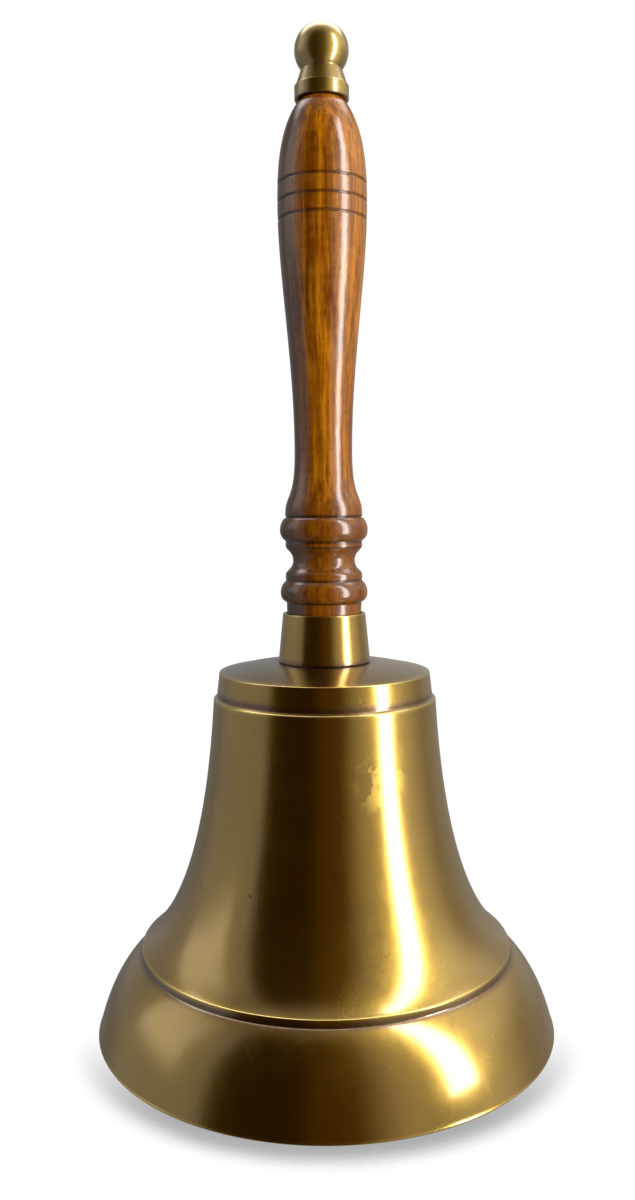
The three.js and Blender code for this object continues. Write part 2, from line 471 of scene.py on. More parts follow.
def make_fine_scratches():
    """Straight, thin handling scratches at odd angles, one here and there."""
    group, w = new_group(
        "fine scratches",
        {"Point": ("Vector", None), "Spread": ("Float", 9.0), "Width": ("Float", 0.05),
         "Share": ("Float", 0.4)},
        {"Scratches": "Float"},
    )
    given = w.inside()
    total = None
    for shift in (0.0, 4.7, 13.1):
        cells = w.node("TexVoronoi", feature="F1")
        moved = w.vector("ADD", given["Point"], (shift, shift * 0.6, -shift))
        scaled = w.vector("DIVIDE", moved, w.combine(given["Spread"], given["Spread"], given["Spread"]))
        w.feed(cells.inputs["Vector"], scaled)
        cells.inputs["Scale"].default_value = 1.0
        offset = w.vector("SUBTRACT", scaled, cells.outputs["Position"])
        slant = w.vector("NORMALIZE", w.vector("SUBTRACT", cells.outputs["Color"], (0.5, 0.5, 0.5)))
        away = w.math("MULTIPLY", w.math("ABSOLUTE", w.vector("DOT_PRODUCT", offset, slant)), given["Spread"])
        thin = w.ramp(away, 0.0, given["Width"], 1.0, 0.0)
        ends = w.ramp(cells.outputs["Distance"], 0.10, 0.36, 1.0, 0.0)
        red, _, _ = w.separate(cells.outputs["Color"])
        kept = w.math("LESS_THAN", red, given["Share"])
        layer = w.math("MULTIPLY", w.math("MULTIPLY", thin, ends), kept)
        total = layer if total is None else w.math("MAXIMUM", total, layer)
    w.outside(Scratches=total)
    return group


def across_grain(w, point):
    """A place across the grain, which wanders slowly along the handle, with the place's X, Y and Z."""
    x, y, z = w.separate(point)
    wander = w.math("MULTIPLY", w.math("SUBTRACT", w.noise(point, 0.018, 2.0), 0.5), 9.0)
    return w.math("ADD", x, wander), x, y, z


def fine_grain(w, across, y, z):
    """The fine lines of the grain, drawn out along the handle."""
    fine = w.noise(w.combine(across, y, w.math("MULTIPLY", z, 0.035)), 2.2, 4.0, 0.6)
    return w.ramp(fine, 0.3, 0.7)


def make_wood_grain():
    """Straight hardwood grain along the handle: soft stripes, dark pores and a faint cross figure."""
    group, w = new_group(
        "wood grain",
        {"Point": ("Vector", None)},
        {"Stripes": "Float", "Fine": "Float", "Pores": "Float", "Figure": "Float"},
    )
    given = w.inside()
    across, x, y, z = across_grain(w, given["Point"])
    stripes = w.noise(w.combine(across, y, w.math("MULTIPLY", z, 0.03)), 0.34, 3.0, 0.55, 0.3)
    pore = w.noise(w.combine(across, y, w.math("MULTIPLY", z, 0.09)), 4.2, 2.0, 0.45)
    figure = w.noise(w.combine(w.math("MULTIPLY", x, 0.25), y, w.math("MULTIPLY", z, 1.1)), 0.5, 3.0, 0.5)
    w.outside(
        Stripes=w.ramp(stripes, 0.32, 0.68),
        Fine=fine_grain(w, across, y, z),
        Pores=w.ramp(pore, 0.63, 0.72),
        Figure=w.ramp(figure, 0.35, 0.65),
    )
    return group


RING_MASK = make_ring_mask()
TURNING_LINES = make_turning_lines()
PATINA = make_patina()
FINE_SCRATCHES = make_fine_scratches()
WOOD_GRAIN = make_wood_grain()


# ---------------------------------------------------------------- materials

def new_material(name):
    """A material with its shader and the wiring of its tree."""
    material = bpy.data.materials.new(name)
    material.use_nodes = True
    w = Wiring(material.node_tree)
    shader = next(node for node in w.nodes if node.type == "BSDF_PRINCIPLED")
    return material, w, shader


def bump(w, height, distance, strength, onto=None):
    made = w.node("Bump")
    made.inputs["Strength"].default_value = strength
    made.inputs["Distance"].default_value = distance * MM
    w.feed(made.inputs["Height"], height)
    if onto is not None:
        w.feed(made.inputs["Normal"], onto)
    return made.outputs["Normal"]


def lines_mask(w, radius, height, lines):
    """The strongest of several lines round the piece, each (radius, height, width)."""
    total = None
    for line_radius, line_height, width in lines:
        mask = w.group(
            RING_MASK, Radius=radius, Height=height, Line_Radius=line_radius,
            Line_Height=line_height, Width=width,
        )["Mask"]
        total = mask if total is None else w.math("MAXIMUM", total, mask)
    return total


# Where the strip light's highlight falls on the bell's waist: a rougher smudge whose colour is brightened
# there, a painted sheen.
SHEEN_SMUDGE_PLACE = (14.5, -30.5, 74.0)
SHEEN_SMUDGE_CORE = 3.0
SHEEN_SMUDGE_REACH = 11.0
NO_FILM = 400.0  # a height above the whole bell


def brass(name, tone, worn_lines, shade_and_patina_lines, roughness, patina_size, line_depth, film_from=NO_FILM):
    """Lacquered brass: patina, turning lines, brighter rubbed edges, a painted sheen on a rougher patch where
    the highlight falls on the bell's waist, and painted shade mixed with brown patina in the hollows and
    where parts meet.
    """
    material, w, shader = new_material(name)
    point, radius, height = millimetres(w)
    patina = w.group(PATINA, Point=point, Size=patina_size)
    turning = w.group(TURNING_LINES, Point=point, Lines=5.0, Drift=1.2)
    scratches = w.group(FINE_SCRATCHES, Point=point, Spread=11.0, Width=0.045, Share=0.45)["Scratches"]
    breakup = w.noise(point, 0.9, 4.0, 0.65)

    colour = w.mix(w.math("MULTIPLY", patina["Cloud"], 0.5), tone["body"], tone["deep"])
    colour = w.mix(w.math("MULTIPLY", patina["Brown"], 0.45), colour, tone["brown"])
    mottle = w.noise(point, 0.16, 4.0, 0.62)
    colour = w.mix(w.ramp(mottle, 0.44, 0.72, 0.0, 0.14), colour, tone["deep"])
    bands = w.ramp(turning["Bands"], 0.35, 0.65)
    colour = w.mix(w.math("MULTIPLY", bands, 0.12), colour, tone["deep"])
    # Dark brown lines in the grooves, under the step and where parts meet: painted shade, mixed with patina.
    shade_and_patina = lines_mask(w, radius, height, shade_and_patina_lines)
    shade_and_patina = w.math("MULTIPLY", shade_and_patina, w.ramp(breakup, 0.15, 0.6, 0.7, 0.95))
    colour = w.mix(shade_and_patina, colour, tone["shade_and_patina"])
    film_share = w.ramp(breakup, 0.1, 0.8, 0.35, 0.65)
    film = w.math("MULTIPLY", w.ramp(height, film_from, film_from + 0.4), film_share)
    colour = w.mix(film, colour, tone["shade_and_patina"])
    # A rougher smudge at the waist's highlight, its colour pushed towards bright brass as a painted sheen.
    sheen_smudge_distance = w.vector("LENGTH", w.vector("SUBTRACT", point, SHEEN_SMUDGE_PLACE))
    near = w.ramp(sheen_smudge_distance, SHEEN_SMUDGE_CORE, SHEEN_SMUDGE_REACH, 1.0, 0.0)
    sheen_smudge = w.math("MULTIPLY", near, w.ramp(w.noise(point, 0.22, 3.0, 0.6), 0.47, 0.60))
    colour = w.mix(w.math("MULTIPLY", sheen_smudge, 0.45), colour, tone["bright_brass"])
    bright_brass = lines_mask(w, radius, height, worn_lines)
    bright_brass = w.math("MULTIPLY", bright_brass, w.ramp(breakup, 0.2, 0.75, 0.5, 0.9))
    colour = w.mix(bright_brass, colour, tone["bright_brass"])
    colour = w.mix(w.math("MULTIPLY", scratches, 0.45), colour, tone["bright_brass"])
    colour = w.mix(w.math("MULTIPLY", patina["Spots"], 0.7), colour, tone["shade_and_patina"])
    w.feed(shader.inputs["Base Color"], colour)

    rough = w.math("ADD", roughness, w.math("MULTIPLY", patina["Cloud"], 0.06))
    rough = w.math("ADD", rough, w.math("MULTIPLY", w.math("SUBTRACT", turning["Lines"], 0.5), 0.03))
    rough = w.math("ADD", rough, w.ramp(mottle, 0.34, 0.70, -0.012, 0.03))
    rough = w.math("ADD", rough, w.math("MULTIPLY", shade_and_patina, 0.15))
    rough = w.math("ADD", rough, w.math("MULTIPLY", scratches, 0.1))
    rough = w.math("ADD", rough, w.math("MULTIPLY", sheen_smudge, 0.16))
    w.feed(shader.inputs["Roughness"], rough)

    shader.inputs["Metallic"].default_value = 1.0
    shader.inputs["Coat Weight"].default_value = 1.0
    shader.inputs["Coat IOR"].default_value = 2.05
    shader.inputs["Coat Roughness"].default_value = 0.15
    upright = w.vector("MULTIPLY", point, (1.0, 1.0, 0.22))
    normal = bump(w, turning["Lines"], line_depth, 0.25)
    normal = bump(w, w.noise(upright, 0.10, 3.0, 0.5), 0.6, 0.17, normal)
    normal = bump(w, w.math("SUBTRACT", 1.0, scratches), 0.01, 0.15, normal)
    w.feed(shader.inputs["Normal"], normal)
    return material


# The darkest tone serves patina spots, the tarnish film on the crown and the painted shade in the grooves and
# joints.
BELL_TONE = {
    "body": (0.59, 0.365, 0.035, 1), "deep": (0.45, 0.275, 0.022, 1), "brown": (0.47, 0.265, 0.04, 1),
    # The bright brass tone serves rubbed edges and scratches, and the painted sheen at the waist's highlight.
    "shade_and_patina": (0.15, 0.065, 0.03, 1), "bright_brass": (0.76, 0.55, 0.10, 1),
}
BELL_BRASS = brass(
    "bell brass", BELL_TONE,
    worn_lines=[
        (CROWN_RADIUS, CROWN_EDGE_TOP - 0.1, 0.6), (SHOULDER_RADIUS, SHOULDER_TOP, 1.2),
        (STEP_RADIUS - 0.1, STEP_TOP - 0.1, 0.8), (RIM_RADIUS - 0.1, 0.5, 0.6),
    ],
    # Painted shade with patina: in the shoulder groove, under the step's overhang and round the ferrule's
    # foot.
    shade_and_patina_lines=[
        (CROWN_FOOT_RADIUS, SHOULDER_TOP + 1.2, 2.0), (STEP_RADIUS + 0.2, STEP_FOOT + 0.4, 1.9),
        (FERRULE_RADIUS + 0.3, CROWN_TOP, 2.6),
    ],
    roughness=0.205, patina_size=38.0, line_depth=0.003, film_from=CROWN_EDGE_TOP + 0.05,
)
FERRULE_BRASS = brass(
    "ferrule brass", BELL_TONE,
    worn_lines=[(FERRULE_TOP_RADIUS, FERRULE_TOP - 0.1, 0.6)],
    # Painted shade with patina round the ferrule's foot on the crown.
    shade_and_patina_lines=[(FERRULE_RADIUS, FERRULE_FOOT, 1.9)],
    roughness=0.205, patina_size=16.0, line_depth=0.005,
)
FINIAL_TONE = {
    "body": (0.50, 0.34, 0.055, 1), "deep": (0.34, 0.215, 0.03, 1), "brown": (0.34, 0.215, 0.05, 1),
    "shade_and_patina": (0.12, 0.06, 0.03, 1), "bright_brass": (0.84, 0.66, 0.28, 1),
}
FINIAL_BRASS = brass(
    "finial brass", FINIAL_TONE,
    worn_lines=[(COLLAR_RADIUS, COLLAR_TOP, 0.4), (5.4, 255.9, 0.35)],
    # Painted shade with patina where the collar meets the handle.
    shade_and_patina_lines=[(COLLAR_RADIUS - 1.0, FINIAL_FOOT, 1.6)],
    roughness=0.36, patina_size=9.0, line_depth=0.01,
)


WOOD_TONE = {
    "dark stripe": (0.11, 0.026, 0.0003, 1), "light stripe": (0.38, 0.122, 0.0010, 1),
    "fine": (0.12, 0.030, 0.0004, 1), "figure": (0.40, 0.165, 0.012, 1),
    "pore": (0.035, 0.009, 0.0008, 1), "dark streak": (0.075, 0.016, 0.0003, 1),
    "light streak": (0.52, 0.21, 0.0030, 1), "turnings": (0.085, 0.021, 0.0010, 1),
    "burnt": (0.012, 0.003, 0.0006, 1),
}
TURNINGS_TOP = 135.0  # the wood is darkest up to here
GRIP_CLEAR = 156.0  # and has its full colour from here up
GROOVE_BURN_WIDTH = 0.75
TURNING_BURNS = [
    (10.45, 139.9, 0.8), (10.4, 133.1, 0.6), (10.3, 122.8, 0.6), (10.2, 116.9, 0.6), (10.3, 131.7, 0.4),
]


def varnished_wood():
    """Reddish brown turned hardwood under gloss varnish, darker in the turnings and the grooves."""
    material, w, shader = new_material("varnished wood")
    point, radius, height = millimetres(w)
    grain = w.group(WOOD_GRAIN, Point=point)
    colour = w.mix(grain["Stripes"], WOOD_TONE["dark stripe"], WOOD_TONE["light stripe"])
    colour = w.mix(w.math("MULTIPLY", grain["Fine"], 0.55), colour, WOOD_TONE["fine"])
    colour = w.mix(w.math("MULTIPLY", grain["Figure"], 0.16), colour, WOOD_TONE["figure"])
    colour = w.mix(w.math("MULTIPLY", grain["Pores"], 0.7), colour, WOOD_TONE["pore"])
    along = w.vector("MULTIPLY", point, (1.0, 1.0, 0.03))
    streaks = w.noise(along, 0.95, 4.0, 0.62)
    colour = w.mix(w.ramp(streaks, 0.50, 0.64, 0.0, 0.62), colour, WOOD_TONE["dark streak"])
    colour = w.mix(w.ramp(streaks, 0.46, 0.34, 0.0, 0.3), colour, WOOD_TONE["light streak"])
    turnings = w.ramp(height, TURNINGS_TOP, GRIP_CLEAR, 0.62, 0.0)
    colour = w.mix(turnings, colour, WOOD_TONE["turnings"])
    groove_burns = [(BARREL_RADIUS - 0.1, line, GROOVE_BURN_WIDTH) for line in GROOVE_HEIGHTS]
    burnt = lines_mask(w, radius, height, groove_burns + TURNING_BURNS)
    colour = w.mix(w.math("MULTIPLY", burnt, 0.85), colour, WOOD_TONE["burnt"])
    w.feed(shader.inputs["Base Color"], colour)
    rough = w.ramp(grain["Fine"], 0.0, 1.0, 0.40, 0.50)
    w.feed(shader.inputs["Roughness"], w.math("ADD", rough, w.math("MULTIPLY", burnt, 0.3)))
    shader.inputs["Specular IOR Level"].default_value = 0.0
    shader.inputs["Coat Weight"].default_value = 1.0
    shader.inputs["Coat IOR"].default_value = 1.9
    shader.inputs["Coat Roughness"].default_value = 0.19
    normal = bump(w, w.math("SUBTRACT", 1.0, grain["Pores"]), 0.05, 0.35)
    normal = bump(w, grain["Fine"], 0.03, 0.3, normal)
    w.feed(shader.inputs["Normal"], bump(w, w.noise(point, 0.16, 2.0), 0.35, 0.16, normal))
    across, _, y, z = across_grain(w, point)
    ripple = bump(w, fine_grain(w, across, y, z), 0.012, 0.35)
    ripple = bump(w, streaks, 0.02, 0.4, ripple)
    w.feed(shader.inputs["Coat Normal"], bump(w, w.noise(point, 0.25, 3.0), 0.35, 0.3, ripple))
    return material


VARNISHED_WOOD = varnished_wood()


STEEL_TINT = (0.52, 0.51, 0.49, 1)
STEEL_DULL = (0.30, 0.27, 0.24, 1)
STEEL_STAIN = (0.22, 0.14, 0.08, 1)


def plain_steel(name, tint, roughness):
    """Dulled steel with faint drawing lines and a little brown staining."""
    material, w, shader = new_material(name)
    point, _, _ = millimetres(w)
    stain = w.group(PATINA, Point=point, Size=5.0)
    turning = w.group(TURNING_LINES, Point=point, Lines=7.0, Drift=1.0)
    colour = w.mix(w.math("MULTIPLY", stain["Cloud"], 0.5), tint, STEEL_DULL)
    colour = w.mix(w.math("MULTIPLY", stain["Brown"], 0.3), colour, STEEL_STAIN)
    w.feed(shader.inputs["Base Color"], colour)
    w.feed(shader.inputs["Roughness"], w.math("ADD", roughness, w.math("MULTIPLY", stain["Cloud"], 0.18)))
    shader.inputs["Metallic"].default_value = 1.0
    w.feed(shader.inputs["Normal"], bump(w, turning["Lines"], 0.02, 0.3))
    return material


STEEL = plain_steel("plain steel", STEEL_TINT, 0.28)


# ---------------------------------------------------------------- pieces

def make_bell():
    """The casting: lip, flared skirt, undercut step, hollow waist, shoulder groove and domed crown."""
    skirt_foot, skirt_top = (RIM_RADIUS - 0.35, 0.95), (STEP_RADIUS + 0.4, STEP_FOOT - 0.05)
    skirt = sweep(skirt_foot, (60.0, 10.6), (56.2, 16.8), skirt_top, 44)
    waist_foot, waist_top = (STEP_RADIUS - 0.3, STEP_TOP + 0.05), (SHOULDER_RADIUS, SHOULDER_TOP - 0.6)
    waist = sweep(waist_foot, (41.8, 30.0), (33, 47.4), waist_top, 72)
    underside = CROWN_UNDERSIDE
    inner_foot, inner_top = (STEP_RADIUS - 5.3, STEP_TOP + 1.0), (27.1, 85.6)
    inner_waist = sweep(inner_top, (30.0, 49.0), (38.4, 31.2), inner_foot, 40)
    inner_skirt = sweep(inner_foot, (50.6, 17.5), (56.5, 8.5), (LIP_INNER_RADIUS, 0.5), 20)
    crown_inside = (inner_top[0] - 6.0, underside)
    inner_crown = sweep(crown_inside, (25.1, underside), (27.1, underside - 3.0), inner_top, 12)
    dome_edge, dome_top = (CROWN_RADIUS - 0.5, CROWN_EDGE_TOP), (FERRULE_RADIUS + 0.6, CROWN_TOP - 0.04)
    dome = sweep(dome_edge, (24.0, CROWN_EDGE_TOP + 1.0), (18.0, CROWN_TOP - 0.15), dome_top, 24)
    points = outline(
        (LIP_INNER_RADIUS + 0.1, 0.0, 0.25),
        (RIM_RADIUS - 0.35, 0.0, 0.2), (RIM_RADIUS - 0.02, 0.45, 0.25),
        skirt,
        (STEP_RADIUS + 0.12, STEP_FOOT + 0.05, 0.1),
        (STEP_RADIUS, STEP_FOOT + 0.4, 0.15), (STEP_RADIUS, STEP_TOP - 0.05, 0.28),
        waist,
        (SHOULDER_RADIUS, SHOULDER_TOP, 0.35), (CROWN_FOOT_RADIUS - 0.05, SHOULDER_TOP + 0.5, 0.15),
        (CROWN_FOOT_RADIUS, SHOULDER_TOP + 1.3, 0.2), (CROWN_RADIUS + 0.04, CROWN_EDGE_TOP, 0.3),
        dome,
        (ROD_HOLE_RADIUS, CROWN_TOP, 0.2), (ROD_HOLE_RADIUS, underside, 0.2),
        inner_crown, inner_waist, inner_skirt,
        ring=True,
    )
    vertices, faces = turned(points, BELL_FLATS, ring=True)
    piece = new_piece("bell", vertices, faces, "bell_shell", "bell", "bell_brass", BELL_BRASS)
    keep_flats_flat(piece)


def make_ferrule():
    """The tapered socket that holds the handle's foot, with eased edges."""
    points = outline(
        (FERRULE_BORE_RADIUS, FERRULE_FOOT), (FERRULE_RADIUS, FERRULE_FOOT, 0.3),
        (FERRULE_RADIUS - 0.06, FERRULE_FOOT + 0.7, 0.3),
        (FERRULE_TOP_RADIUS, FERRULE_TOP, 0.3), (FERRULE_BORE_RADIUS + 0.1, FERRULE_TOP, 0.2),
        ring=True,
    )
    vertices, faces = turned(points, HANDLE_FLATS, ring=True)
    piece = new_piece("ferrule_socket", vertices, faces, "ferrule", "bell", "polished_brass", FERRULE_BRASS)
    keep_flats_flat(piece)


def groove(radius, height, depth=0.42, width=0.5):
    """A V groove with eased lips, as points of an outline that climbs past it."""
    return [
        (radius, height - width), (radius - 0.05, height - width * 0.62), (radius - depth, height - 0.08),
        (radius - depth, height + 0.08), (radius - 0.05, height + width * 0.62), (radius, height + width),
    ]


def make_handle():
    """The turned handle: tenon, bead, cove between two fillets, bead, flare, slim grip, grooved barrel."""
    grip_waist, barrel = (GRIP_RADIUS, GRIP_HEIGHT), (BARREL_RADIUS, BARREL_HEIGHT)
    flare = sweep((10.4, 141.4), (10.1, 145.8), (GRIP_RADIUS, 145.1), grip_waist, 26)
    swell = sweep(grip_waist, (GRIP_RADIUS, 181.7), (BARREL_RADIUS, 203.3), barrel, 48)
    head = sweep(barrel, (BARREL_RADIUS, 228.6), (BARREL_RADIUS, 240.8), (6.0, HANDLE_TOP), 44)
    body = flare + swell[1:] + head[1:]
    cut = []
    for radius, height in body:
        near = [line for line in GROOVE_HEIGHTS if abs(height - line) < 0.75]
        if not near:
            cut.append((radius, height))
        elif not any(abs(point[1] - near[0]) < 0.6 for point in cut[-6:]):
            cut.extend(groove(radius, near[0]))
    points = outline(
        (ROD_HOLE_RADIUS, HANDLE_FOOT), (10.0, HANDLE_FOOT, 0.4), (10.0, FERRULE_TOP - 0.5),
        (10.08, FERRULE_TOP + 0.2), (10.15, 116.6, 0.15),
        sweep((10.5, 117.0), (12.25, 117.7), (12.25, 120.9), (10.5, 122.4), 20),
        (10.25, 122.75, 0.12), (10.38, 123.1, 0.12), (10.38, 124.55, 0.2),
        sweep((10.2, 124.8), (9.65, 125.7), (8.38, 126.0), (8.38, 128.2), 12)[1:],
        sweep((8.38, 128.2), (8.38, 130.1), (10.1, 130.9), (10.25, 131.6), 12)[1:],
        (10.38, 131.75, 0.1), (10.38, 133.0, 0.15), (10.3, 133.25, 0.1),
        sweep((10.55, 133.5), (12.3, 134.6), (12.3, 137.6), (10.75, 139.4), 20),
        (10.2, 139.62, 0.12), (10.2, 139.85, 0.1), (10.45, 140.05, 0.12),
        cut,
        (ROD_HOLE_RADIUS, HANDLE_TOP),
        ring=True,
    )
    vertices, faces = turned(points, HANDLE_FLATS, ring=True)
    piece = new_piece("turned_handle", vertices, faces, "handle", "bell", "varnished_wood", VARNISHED_WOOD)
    keep_flats_flat(piece)


def make_finial():
    """Collar, coned neck and ball in one piece, bored blind for the rod."""
    bore, bore_top = ROD_RADIUS + 0.3, 262.6
    points = outline(
        (0.0, bore_top), (bore, bore_top, 0.3), (bore, FINIAL_FOOT, 0.3),
        (COLLAR_RADIUS - 0.05, FINIAL_FOOT, 0.35), (COLLAR_RADIUS, COLLAR_TOP - 0.05, 0.22),
        (COLLAR_RADIUS - 0.35, COLLAR_TOP + 0.05, 0.1), (5.55, 255.75, 0.16), (5.15, 255.85, 0.08),
        arc((0.0, BALL_HEIGHT), BALL_RADIUS, -44.0, 90.0, 60),
    )
    points[-1] = (0.0, FINIAL_TOP)
    vertices, faces = turned(points, HANDLE_FLATS)
    piece = new_piece("finial_ball", vertices, faces, "finial", "bell", "polished_brass", FINIAL_BRASS)
    keep_flats_flat(piece)


def blend_joint(piece, voxel):
    """Runs a piece's touching shells together into one skin with a soft forged joint."""
    remesh = piece.modifiers.new("one skin", "REMESH")
    remesh.mode = "VOXEL"
    remesh.voxel_size = voxel * MM
    remesh.use_smooth_shade = True
    smooth = piece.modifiers.new("soft joint", "SMOOTH")
    smooth.factor = 0.5
    smooth.iterations = 6


def together(*parts):
    """Joins several lots of vertices and faces into one."""
    vertices, faces = [], []
    for more_vertices, more_faces in parts:
        start = len(vertices)
        vertices.extend(more_vertices)
        faces.extend(tuple(corner + start for corner in face) for face in more_faces)
    return vertices, faces


def make_tie_rod():
    """The long rod, threaded below the lock nut and at its top, and the eye forged at its foot."""
    shank_foot, neck = EYE_HEIGHT + EYE_RADIUS - 1.0, low("lock_nut") - 0.6
    shank = outline(
        (0.0, shank_foot), (1.9, shank_foot), (2.3, shank_foot + 1.6), (2.3, neck), (0.0, neck),
    )
    eye = together(wire_ring(EYE_RADIUS, EYE_WIRE, "x", EYE_HEIGHT), turned(shank, SMALL_FLATS))
    piece = new_piece("rod_eye", *eye, "tie_rod", "bell", "steel", STEEL)
    blend_joint(piece, 0.22)
    rod = threaded(ROD_RADIUS, 0.42, 1.0, neck - 0.4, high("tie_rod"), rings_a_turn=8, flats=40)
    new_piece("threaded_rod", *rod, "tie_rod", "bell", "steel", STEEL)


def make_crown_fasteners():
    """The washer, nut and lock nut that draw the rod tight under the crown."""
    foot, top = low("crown_washer"), high("crown_washer")
    rim = reach("crown_washer")
    points = outline(
        (ROD_HOLE_RADIUS, foot, 0.15), (rim, foot, 0.25), (rim, top, 0.25), (ROD_HOLE_RADIUS, top, 0.15),
        ring=True,
    )
    shape = turned(points, SMALL_FLATS, ring=True)
    piece = new_piece("washer", *shape, "crown_washer", "bell", "steel", STEEL)
    keep_flats_flat(piece)
    for name, node in (("hex_nut", "crown_nut"), ("hex_lock_nut", "lock_nut")):
        across = (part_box(node)[1].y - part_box(node)[0].y) / MM
        shape = hex_nut(across, ROD_RADIUS + 0.15, low(node), high(node))
        sharp_piece(new_piece(name, *shape, node, "bell", "steel", STEEL))


def sharp_piece(piece):
    """Keeps the edges between a nut's flats crisp, with a hair of rounding."""
    piece.data.set_sharp_from_angle(angle=math.radians(20))
    modifier = piece.modifiers.new("eased edges", "BEVEL")
    modifier.width = 0.12 * MM
    modifier.segments = 2
    modifier.limit_method = "ANGLE"
    modifier.angle_limit = math.radians(25)
    modifier.harden_normals = True


def make_link():
    """The ring of round wire between the rod's eye and the clapper."""
    shape = wire_ring(LINK_RADIUS, LINK_WIRE, "y", LINK_HEIGHT)
    new_piece("hanging_ring", *shape, "link", "link", "steel", STEEL)


def make_clapper():
    """The clapper rod with its loop and collar, the ball, and the nut that holds the ball on."""
    ball_top = CLAPPER_BALL_HEIGHT + CLAPPER_BALL_RADIUS + 0.3
    rod_radius = CLAPPER_ROD_RADIUS
    rod = outline(
        (0.0, CLAPPER_FOOT), (rod_radius - 0.35, CLAPPER_FOOT), (rod_radius, CLAPPER_FOOT + 0.4),
        (rod_radius, ball_top), (rod_radius + 1.2, ball_top, 0.2), (rod_radius + 1.2, ball_top + 1.2, 0.3),
        (rod_radius, ball_top + 1.7, 0.2), (rod_radius, LOOP_HEIGHT - LOOP_RADIUS + 0.6),
        (0.0, LOOP_HEIGHT - LOOP_RADIUS + 0.6),
    )
    shape = together(turned(rod, SMALL_FLATS), wire_ring(LOOP_RADIUS, LOOP_WIRE, "x", LOOP_HEIGHT))
    piece = new_piece("looped_rod", *shape, "clapper_rod", "clapper", "steel", STEEL)
    blend_joint(piece, 0.2)
    bore = rod_radius + 0.3
    half = math.degrees(math.acos((bore + 0.35) / CLAPPER_BALL_RADIUS))
    round_side = arc((0.0, CLAPPER_BALL_HEIGHT), CLAPPER_BALL_RADIUS, -half, half, 48)
    foot, top = round_side[0][1] + 0.35, round_side[-1][1] - 0.35
    points = outline((bore, foot), round_side, (bore, top), ring=True)
    shape = turned(points, SMALL_FLATS, ring=True)
    new_piece("ball", *shape, "clapper_ball", "clapper", "bell_brass", FINIAL_BRASS)
    across = (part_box("ball_nut")[1].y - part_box("ball_nut")[0].y) / MM
    shape = hex_nut(across, rod_radius + 0.15, low("ball_nut"), high("ball_nut"), flats=96)
    sharp_piece(new_piece("ball_hex_nut", *shape, "ball_nut", "clapper", "steel", STEEL))


make_bell()
make_ferrule()
make_handle()
make_finial()
make_tie_rod()
make_crown_fasteners()
make_link()
make_clapper()


# ---------------------------------------------------------------- studio

WHITE = 1.05  # the floor's and the backdrop's brightness
FLOOR_RADIUS = 3.0
CONTACT_REACH = 0.014  # how far from the bell the floor's shading starts
CONTACT_OPEN = 0.76  # how open the floor is where the shading is full
CONTACT_SHADE = 0.42  # the floor's brightness under full shading

CAMERA_PLACE = (-0.0018, -0.2900, 0.14212)
CAMERA_DOWN = 4.912  # degrees below level
CAMERA_ROLL = -0.315  # degrees
CAMERA_LENS = 32.07


def make_floor():
    """A plain white glowing floor with a painted contact shadow close round the bell's foot, strongest at the
    front.
    """
    mesh = bpy.data.meshes.new("floor")
    sides = 96
    vertices = [(0.0, 0.0, 0.0)]
    for side in range(sides):
        angle = math.tau * side / sides
        vertices.append((FLOOR_RADIUS * math.cos(angle), FLOOR_RADIUS * math.sin(angle), 0.0))
    mesh.from_pydata(vertices, [], [(0, 1 + side, 1 + (side + 1) % sides) for side in range(sides)])
    floor = bpy.data.objects.new("floor", mesh)
    bpy.context.scene.collection.objects.link(floor)
    material = bpy.data.materials.new("white floor")
    material.use_nodes = True
    w = Wiring(material.node_tree)
    w.nodes.clear()
    output = w.node("OutputMaterial")
    shading = w.node("AmbientOcclusion", samples=16)
    shading.inputs["Distance"].default_value = CONTACT_REACH
    glow = w.node("Emission")
    glow.inputs["Color"].default_value = (1, 1, 1, 1)
    place = w.node("TexCoord").outputs["Object"]
    _, forward, _ = w.separate(w.vector("NORMALIZE", place))
    front = w.ramp(w.math("MULTIPLY", forward, -1.0), 0.05, 0.90, 0.05, 1.0)
    # Painted shadow: the glow is dimmed where the ambient occlusion test finds the bell close by, more
    # towards the front.
    shade = w.ramp(shading.outputs["AO"], CONTACT_OPEN, 0.985, WHITE - CONTACT_SHADE, 0.0)
    w.feed(glow.inputs["Strength"], w.math("SUBTRACT", WHITE, w.math("MULTIPLY", shade, front)))
    w.tree.links.new(glow.outputs[0], output.inputs[0])
    mesh.materials.append(material)
    floor.visible_glossy = False
    floor.visible_diffuse = False
    floor.visible_shadow = False


def soft_span(w, value, start, end, start_soft, end_soft):
    """One inside a span of a value and nought outside it, with a soft rise and a soft fall."""
    rise = w.ramp(value, start - start_soft, start + start_soft)
    fall = w.ramp(value, end - end_soft, end + end_soft, 1.0, 0.0)
    return w.math("MULTIPLY", rise, fall)


def add_panel(w, total, bearing, climb, across, up, colour):
    """Adds a soft panel to the surroundings: across and up are (start, end, start soft, end soft)."""
    mask = w.math("MULTIPLY", soft_span(w, bearing, *across), soft_span(w, climb, *up))
    light = w.vector("SCALE", colour)
    w.feed(light.node.inputs["Scale"], mask)
    return w.vector("ADD", total, light)


